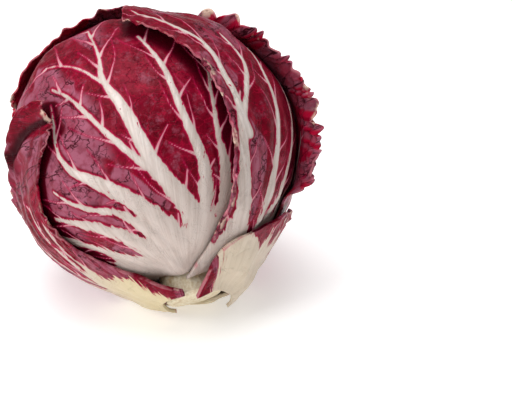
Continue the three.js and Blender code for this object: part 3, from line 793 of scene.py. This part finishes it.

# %% [markdown]
# ## The leaf's finish
# The colour comes from the fields. Inside a rib the leaf is ivory, creamier at the foot and with
# painted shade on the plate, and crimson flames eat into its edges. A thin magenta line borders it.
# The blade is deep crimson with patches of painted mauve sheen, painted shade as dark lines along
# its creases, and pale threads along its veins. The rim is brightened with painted light and has a
# thin painted highlight and a few dry spots. Painted shade also darkens a leaf where another lies
# close over it, and in the groove behind a buckled lip.

# %% Node helpers
class Nodes:
    """A short way to write a material's node tree."""

    def __init__(self, name):
        self.material = bpy.data.materials.new(name)
        self.material.use_nodes = True
        self.tree = self.material.node_tree
        self.shader = self.tree.nodes["Principled BSDF"]

    def put(self, socket, value):
        """Sets a socket to a value, or joins it to another node's socket."""
        if isinstance(value, bpy.types.NodeSocket):
            self.tree.links.new(value, socket)
        else:
            socket.default_value = value

    def node(self, kind, inputs=None, **settings):
        """A new node with its settings, and its inputs put by name or number."""
        made = self.tree.nodes.new(kind)
        for key, value in settings.items():
            setattr(made, key, value)
        for key, value in (inputs or {}).items():
            self.put(made.inputs[key], value)
        return made

    def field(self, name):
        """A named value of the mesh's points."""
        return self.node("ShaderNodeAttribute", attribute_name=name).outputs["Fac"]

    def uv(self, name):
        """A UV map."""
        return self.node("ShaderNodeUVMap", uv_map=name).outputs["UV"]

    def math(self, operation, a, b=0.0):
        """One sum of two values."""
        return self.node("ShaderNodeMath", {0: a, 1: b}, operation=operation).outputs[0]

    def times(self, a, b):
        """The product of two values."""
        return self.math("MULTIPLY", a, b)

    def span(self, value, low, high, to_low=0.0, to_high=1.0):
        """Goes smoothly from to_low where the value is low to to_high where it is high."""
        inputs = {"Value": value, "From Min": low, "From Max": high, "To Min": to_low, "To Max": to_high}
        return self.node("ShaderNodeMapRange", inputs, interpolation_type="SMOOTHSTEP").outputs["Result"]

    def noise(self, vector, scale, detail=3.0, roughness=0.55):
        """Cloudy noise from 0 to 1."""
        inputs = {"Vector": vector, "Scale": scale, "Detail": detail, "Roughness": roughness}
        return self.node("ShaderNodeTexNoise", inputs).outputs["Fac"]

    def colours(self, share, a, b):
        """Colour a where share is 0 and b where it is 1."""
        made = self.node("ShaderNodeMix", data_type="RGBA")
        for socket, value in ((made.inputs[0], share), (made.inputs[6], a), (made.inputs[7], b)):
            self.put(socket, value)
        return made.outputs[2]

    def vector(self, operation, inputs):
        """One step of vector arithmetic."""
        return self.node("ShaderNodeVectorMath", inputs, operation=operation).outputs[0]

    def warped(self, vector, scale, amount):
        """The vector moved about by a coloured noise."""
        inputs = {"Vector": vector, "Scale": scale, "Detail": 3.0}
        drift = self.node("ShaderNodeTexNoise", inputs).outputs["Color"]
        centred = self.vector("SUBTRACT", {0: drift, 1: (0.5, 0.5, 0.5)})
        return self.vector("ADD", {0: vector, 1: self.vector("SCALE", {0: centred, 3: amount})})

    def walls(self, vector, size):
        """The distance to the nearest wall of a cell network, in the vector's units."""
        inputs = {"Vector": vector, "Scale": 1 / size}
        far = self.node("ShaderNodeTexVoronoi", inputs, feature="DISTANCE_TO_EDGE").outputs["Distance"]
        return self.times(far, size)

    def stretched(self, vector, scale):
        """The vector scaled by axis, so that what reads it is drawn out or pressed together."""
        return self.node("ShaderNodeMapping", {"Vector": vector, "Scale": scale}).outputs["Vector"]


def srgb(red, green, blue):
    """A colour of 0 to 255 a channel, as the renderer's own linear values."""
    share = np.array([red, green, blue]) / 255
    linear = np.where(share <= 0.04045, share / 12.92, ((share + 0.055) / 1.055) ** 2.4)
    return (*linear.tolist(), 1.0)


# %% [markdown]
# ## Colours of a red leaf
# The colours are few: ivory for the ribs with its shade and a painted shade for the plate, cream
# for the fleshy foot, two crimsons with a deep one for the painted shade of creases, mauve for the
# painted sheen, and a brighter red for threads and for the painted light on rims.

# %% Leaf material
IVORY = srgb(234, 222, 216)
IVORY_SHADE = srgb(186, 168, 158)
# painted shade of the ivory, for the plate near the foot
IVORY_PLATE_SHADE = srgb(211, 196, 188)
CREAM = srgb(222, 206, 166)
MAGENTA = srgb(176, 16, 70)
CRIMSON = srgb(112, 2, 26)
RUBY = srgb(138, 10, 42)
DEEP = srgb(56, 0, 13)
# the colour of the painted sheen
SHEEN_MAUVE = srgb(168, 96, 118)
# a bright red for threads, and for painted light at the rim
BRIGHT_RED = srgb(186, 16, 56)
PINK = srgb(214, 140, 156)
# a painted highlight along the rim
RIM_HIGHLIGHT = srgb(206, 130, 140)
DRY_SPOT = srgb(222, 190, 172)
LONG_CREASE_SIZE = 7.0
FINE_CREASE_SIZE = 3.2
THREAD_CELL_SIZE = 4.5
LEAF_IOR = 1.16
FLESH_GLOW = (0.002, 0.0008, 0.0006)


def rib_edges(n, fields, leaf_map):
    """The ribs' outline for the finish, in mm: the rib field, jagged by flames that are long
    near the foot, and swollen into one plate right at the foot."""
    flame = n.noise(n.stretched(leaf_map, (0.42, 0.15, 1)), 1.0, 4.0, 0.6)
    jag = n.times(n.math("SUBTRACT", flame, 0.5), n.span(fields["along"], 25, 80, 9.0, 1.5))
    plate = n.span(fields["along"], 38, 16, 0.0, 11.0)
    return n.math("SUBTRACT", n.math("ADD", fields["rib"], jag), plate)


def rib_colour(n, fields, leaf_map, fibre, edge, cream):
    """Ivory, shaded in long fibres and at the rib's edges, with painted shade on the plate and
    where a leaf lies close over it or in a groove, and creamy at the foot."""
    broad = n.noise(n.stretched(leaf_map, (0.3, 0.03, 1)), 1.0, 2.0)
    shade = n.math("ADD", n.times(fibre, 0.5), n.times(broad, 0.5))
    # painted shade: the plate near the foot is darker
    ivory = n.colours(n.span(fields["along"], 85, 50), IVORY, IVORY_PLATE_SHADE)
    ivory = n.colours(n.span(shade, 0.4, 0.66, 0.0, 0.7), ivory, IVORY_SHADE)
    ivory = n.colours(n.span(edge, -1.4, 0.1, 0.0, 0.55), ivory, IVORY_SHADE)
    creamy = n.times(n.span(fields["along"], 50, 16), cream)
    ivory = n.colours(creamy, ivory, CREAM)
    # painted shade on the ivory, under close leaves and in grooves
    return n.colours(n.times(fields["painted_shade"], 0.4), ivory, IVORY_SHADE)


def sheen_share(n, fields, place, leaf_map, wrinkle, streak):
    """How much painted mauve sheen lies on the blade: the sheen field, cloudy, broken up on
    wrinkles, taken off in streaks, beside the ribs and in the painted shade."""
    lines = n.noise(n.stretched(leaf_map, (0.6, 0.05, 1)), 1.0, 4.0, 0.6)
    streaks = n.times(n.span(lines, 0.48, 0.58), streak)
    painted_sheen = n.times(fields["sheen"], n.span(n.noise(place, 110.0, 3.0), 0.3, 0.6, 0.55, 1.0))
    painted_sheen = n.math("MAXIMUM", painted_sheen, n.span(n.noise(place, 170.0, 5.0, 0.75), 0.5, 0.72, 0.0, 0.6))
    painted_sheen = n.times(painted_sheen, n.span(wrinkle, 0.36, 0.54, 0.55, 1.0))
    painted_sheen = n.times(painted_sheen, n.math("SUBTRACT", 1.0, streaks))
    painted_sheen = n.times(painted_sheen, n.span(fields["rib"], 0.5, 1.6))
    return n.times(painted_sheen, n.span(fields["painted_shade"], 0.7, 0.2))


def crease_lines(n, fields, chart):
    """Painted shade as dark lines in the creases: the walls of a long and of a fine cell
    network, each broken up by a noise, and the modelled creases, all stronger where there is
    painted sheen."""
    long_walls = n.walls(n.stretched(n.warped(chart, 0.3, 7.0), (1, 0.6, 1)), LONG_CREASE_SIZE)
    fine_walls = n.walls(n.stretched(n.warped(chart, 0.5, 4.0), (1, 0.75, 1)), FINE_CREASE_SIZE)
    long_lines = n.times(n.span(long_walls, 0.34, 0.06), n.span(n.noise(chart, 0.11, 1.0), 0.42, 0.52))
    fine_lines = n.times(n.span(fine_walls, 0.2, 0.03), n.span(n.noise(chart, 0.17, 1.0), 0.5, 0.62))
    dent = n.math("MAXIMUM", long_lines, n.times(fine_lines, 0.8))
    dent = n.math("MAXIMUM", dent, n.times(n.span(fields["crease"], 0.3, 0.05), 0.6))
    return n.times(dent, n.span(fields["sheen"], 0.0, 1.0, 0.45, 0.9))


def blade_colour(n, fields, place, chart, grain, painted_sheen, dent, rim_light):
    """Crimson, cloudy and grained, brightened by painted light at the rim, with its painted
    mauve sheen, painted shade along its creases, a net of red threads where there is no sheen,
    and painted shade where another leaf lies close over it or in a groove."""
    crimson = n.colours(n.span(n.noise(place, 60.0, 3.0), 0.35, 0.68), CRIMSON, RUBY)
    crimson = n.colours(n.times(n.span(grain, 0.45, 0.7), 0.35), crimson, DEEP)
    # painted light: the red near the rim is brightened
    crimson = n.colours(n.span(fields["rim"], 14, 4, 0.0, rim_light), crimson, BRIGHT_RED)
    # painted sheen: mauve over the crimson
    crimson = n.colours(n.times(painted_sheen, 0.88), crimson, SHEEN_MAUVE)
    # painted shade along the creases
    crimson = n.colours(dent, crimson, DEEP)
    net = n.span(n.walls(n.warped(chart, 0.4, 3.0), THREAD_CELL_SIZE), 0.14, 0.03)
    threads = n.times(net, n.span(fields["sheen"], 0.6, 0.1, 0.0, 0.4))
    crimson = n.colours(threads, crimson, BRIGHT_RED)
    # painted shade under close leaves and in grooves
    return n.colours(fields["painted_shade"], crimson, DEEP)


def leaf_material(name, cream=0.0, streak=0.0, rim_light=0.0):
    """The finish of an outer leaf. cream is how creamy its foot is, streak how much its painted
    sheen is streaked, and the last argument how much painted light brightens the red at its rim."""
    n = Nodes(name)
    fields = {key: n.field(key) for key in ("rib", "vein", "crease", "sheen", "rim", "along", "painted_shade")}
    place = n.node("ShaderNodeTexCoord").outputs["Object"]
    leaf_map = n.uv("leaf_map")
    chart = n.uv("chart_map")
    grain = n.noise(place, 500.0, 4.0)
    wrinkle = n.noise(place, 300.0, 4.0, 0.65)
    fibre = n.noise(n.stretched(leaf_map, (1.4, 0.05, 1)), 1.0, 3.0)

    edge = rib_edges(n, fields, leaf_map)
    core = n.math("MINIMUM", edge, n.math("ADD", fields["vein"], 0.3))
    fleck = n.span(n.noise(n.stretched(leaf_map, (0.9, 0.22, 1)), 1.0, 3.0), 0.66, 0.72)
    fleck = n.times(fleck, n.span(edge, -3.5, -0.6))
    white = n.times(n.span(core, 0.25, -0.2), n.span(fleck, 0.8, 0.0))

    painted_sheen = sheen_share(n, fields, place, leaf_map, wrinkle, streak)
    dent = crease_lines(n, fields, chart)
    blade = blade_colour(n, fields, place, chart, grain, painted_sheen, dent, rim_light)
    blade = n.colours(n.span(core, 0.95, 0.0), blade, MAGENTA)
    blade = n.colours(n.times(n.span(fields["vein"], 0.12, -0.06), 0.8), blade, PINK)
    colour = n.colours(white, blade, rib_colour(n, fields, leaf_map, fibre, edge, cream))
    # painted highlight: a thin pale line along the rim
    rim_highlight = n.times(n.span(fields["rim"], 0.7, 0.1), n.span(n.noise(place, 110.0), 0.45, 0.6))
    colour = n.colours(n.times(rim_highlight, 0.75), colour, RIM_HIGHLIGHT)
    dry = n.times(n.span(fields["rim"], 2.6, 0.8), n.span(n.noise(place, 120.0, 3.0), 0.57, 0.65))
    n.put(n.shader.inputs["Base Color"], n.colours(dry, colour, DRY_SPOT))

    n.put(n.shader.inputs["Roughness"], n.span(grain, 0.3, 0.7, 0.28, 0.4))
    n.shader.inputs["IOR"].default_value = LEAF_IOR
    n.shader.inputs["Subsurface Weight"].default_value = 0.05
    n.shader.inputs["Subsurface Radius"].default_value = FLESH_GLOW
    n.shader.inputs["Subsurface Scale"].default_value = 1.0

    height = n.math("ADD", n.times(fibre, 0.25), n.times(wrinkle, 0.6))
    height = n.math("SUBTRACT", height, n.times(dent, 0.7))
    bump = n.node("ShaderNodeBump", {"Height": height, "Strength": 0.5, "Distance": 0.0008})
    n.put(n.shader.inputs["Normal"], bump.outputs["Normal"])
    return n.material


print("crimson is", [round(part, 3) for part in CRIMSON[:3]])

# %% [markdown]
# ## Making the leaves
# Each leaf is worked out, pressed flat where the head lies on the table, and given its finish.
# It then rides on the head's one body and takes the place of its coarse leaf.

# %% Make the leaves
# painted light brightens the rims of the rear and ruffled leaves most
FINISHES = {
    "right_leaf": dict(streak=0.5),
    "left_wrapper": dict(cream=0.9, streak=0.8),
    "right_wrapper": dict(cream=0.4, streak=0.5),
    "rear_leaf": dict(cream=0.8, rim_light=0.9),
    "ruffled_leaf": dict(rim_light=0.8),
    "rear_left_leaf": dict(cream=0.6),
}


def leaf_maps(across, along):
    """Two maps of a leaf: leaf_map by the angle of the fan from the foot and the length along,
    for what runs with the ribs, and chart_map by true width and length."""
    fan = np.arctan2(across, along - 4) / DEG
    level = across * np.cos(across * DEG)
    return dict(leaf_map=np.stack([fan * 0.9, along], 1), chart_map=np.stack([level, along], 1))


def both_faces(values):
    """A grid of values for the outer face, and the same again for the inner one."""
    return np.concatenate([values.ravel()] * 2)


for leaf in LEAVES:
    outer, inner, across, fields = leaf_faces(leaf)
    points = settle(np.concatenate([outer.reshape(-1, 3), inner.reshape(-1, 3)]))
    fields = {key: both_faces(values) for key, values in fields.items()}
    maps = leaf_maps(both_faces(across), fields["along"])
    dressed = make_mesh(leaf["name"] + "_dressed", points, grid_faces(*leaf["grid"]), maps, fields)
    finish = leaf_material(leaf["name"] + "_finish", **FINISHES.get(leaf["name"], {}))
    dressed.data.materials.append(finish)
    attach(dressed, "root")
    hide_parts(leaf["name"])
    print(leaf["name"], len(dressed.data.polygons), "faces")

# %% [markdown]
# ## The heart and the stem
# The heart hardly shows between the outer leaves, and its coarse solid is already the right
# shape, so it keeps it and gets the colour of tight inner leaves. The stem is cream flesh,
# browned a little where it was cut.

# %% Heart and stem finishes
def heart_material():
    """Dark crimson with streaks of paler rib, for what shows between the leaves."""
    n = Nodes("heart_finish")
    place = n.node("ShaderNodeTexCoord").outputs["Object"]
    streak = n.noise(place, 140.0, 3.0)
    n.put(n.shader.inputs["Base Color"], n.colours(n.span(streak, 0.4, 0.62), DEEP, CRIMSON))
    n.shader.inputs["Roughness"].default_value = 0.5
    return n.material


STEM_FLESH = srgb(233, 222, 196)
STEM_FIBRE = srgb(214, 196, 160)
CUT_BROWN = srgb(190, 158, 112)


def stem_material():
    """Cream flesh with fine fibres and a browned cut."""
    n = Nodes("stem_finish")
    place = n.node("ShaderNodeTexCoord").outputs["Object"]
    fibre = n.noise(place, 900.0, 3.0)
    flesh = n.colours(n.span(fibre, 0.35, 0.65), STEM_FLESH, STEM_FIBRE)
    stain = n.span(n.noise(place, 180.0, 3.0), 0.55, 0.75)
    n.put(n.shader.inputs["Base Color"], n.colours(stain, flesh, CUT_BROWN))
    n.shader.inputs["Roughness"].default_value = 0.6
    bump = n.node("ShaderNodeBump", {"Height": fibre, "Strength": 0.4, "Distance": 0.0005})
    n.put(n.shader.inputs["Normal"], bump.outputs["Normal"])
    return n.material


for node, finish in (("heart", heart_material()), ("stem", stem_material())):
    cad_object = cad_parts[node]
    for slot in cad_object.material_slots:
        slot.material = finish
    print(node, "has its finish")

# %% [markdown]
# ## The table
# The head lies on a white table, as in a picture of produce on white. The table glows a little,
# so that it stays white and the shadow is soft.

# %% Floor
HALF_FLOOR = 3.0
FLOOR_WHITE = (0.92, 0.92, 0.92, 1)
FLOOR_GLOW = 0.38

floor_mesh = bpy.data.meshes.new("floor")
corners = [(x * HALF_FLOOR, y * HALF_FLOOR, 0) for x, y in ((-1, -1), (1, -1), (1, 1), (-1, 1))]
floor_mesh.from_pydata(corners, [], [(0, 1, 2, 3)])
floor = bpy.data.objects.new("floor", floor_mesh)
bpy.context.scene.collection.objects.link(floor)
floor_finish = Nodes("floor_finish")
floor_finish.shader.inputs["Base Color"].default_value = FLOOR_WHITE
floor_finish.shader.inputs["Roughness"].default_value = 0.9
floor_finish.shader.inputs["Specular IOR Level"].default_value = 0.1
floor_finish.shader.inputs["Emission Color"].default_value = (1, 1, 1, 1)
floor_finish.shader.inputs["Emission Strength"].default_value = FLOOR_GLOW
floor_mesh.materials.append(floor_finish.material)
print("the table is", 2 * HALF_FLOOR, "m wide")

# %% [markdown]
# ## Light
# A broad soft light hangs above, a smaller one stands at the left in front, and the room itself
# is a dim even white that fills the shadows.

# %% Lights
ROOM_STRENGTH = 0.3

scene = bpy.context.scene
world = bpy.data.worlds.new("soft_room")
world.use_nodes = True
world.node_tree.nodes["Background"].inputs["Color"].default_value = (1, 1, 1, 1)
world.node_tree.nodes["Background"].inputs["Strength"].default_value = ROOM_STRENGTH
scene.world = world
MIDDLE = Vector((0, 0, CENTRE_HEIGHT * 0.001))


def area_light(name, place, size, watts):
    """A square light at a place, turned to face the middle of the head."""
    light = bpy.data.lights.new(name, "AREA")
    light.shape = "SQUARE"
    light.size = size
    light.energy = watts
    lamp = bpy.data.objects.new(name, light)
    turn = (MIDDLE - place).to_track_quat("-Z", "Y")
    lamp.matrix_world = Matrix.Translation(place) @ turn.to_matrix().to_4x4()
    scene.collection.objects.link(lamp)


area_light("top_light", Vector((-0.15, 0.05, 1.1)), 0.9, 10)
area_light("left_light", Vector((-0.7, -0.5, 0.6)), 0.45, 3.6)
print("lights face", [round(part, 3) for part in MIDDLE])

# %% [markdown]
# ## Camera
# The camera stands in front and looks down 25 degrees with a long lens. Its distance comes from
# how wide the head is in the picture, and it is aimed so that the head's middle falls left of
# the picture's middle.

# %% Camera
PICTURE = (512, 410)
HEAD_PIXEL = (153, 154)
SIGHT_DROP = 25
LENS = 100
SENSOR = 36
HEAD_HALF_PIXELS = 148
HEAD_HALF_WIDTH = 0.059

pixels_per_unit = LENS / SENSOR * PICTURE[0]
distance = HEAD_HALF_WIDTH / np.sin(np.arctan(HEAD_HALF_PIXELS / pixels_per_unit))
offset_x = (HEAD_PIXEL[0] - PICTURE[0] / 2) / pixels_per_unit
offset_y = (PICTURE[1] / 2 - HEAD_PIXEL[1]) / pixels_per_unit
to_head = Vector((0, np.cos(SIGHT_DROP * DEG), -np.sin(SIGHT_DROP * DEG)))
depth = 1 / np.sqrt(1 + offset_x**2 + offset_y**2)
yaw = np.arcsin(-offset_x * depth / np.cos(SIGHT_DROP * DEG))
flat_part = np.cos(yaw) * np.cos(SIGHT_DROP * DEG)
lean_down = np.arccos(depth / np.hypot(flat_part, np.sin(SIGHT_DROP * DEG)))
pitch = np.arctan2(np.sin(SIGHT_DROP * DEG), flat_part) + lean_down
gaze = Vector((np.sin(yaw) * np.cos(pitch), np.cos(yaw) * np.cos(pitch), -np.sin(pitch)))
camera_data = bpy.data.cameras.new("camera")
camera_data.lens = LENS
camera_data.sensor_width = SENSOR
camera = bpy.data.objects.new("camera", camera_data)
stand = Matrix.Translation(MIDDLE - to_head * distance)
camera.matrix_world = stand @ gaze.to_track_quat("-Z", "Y").to_matrix().to_4x4()
scene.collection.objects.link(camera)
scene.camera = camera
scene.view_settings.view_transform = "Standard"
print("camera at", [round(part, 3) for part in camera.matrix_world.translation])
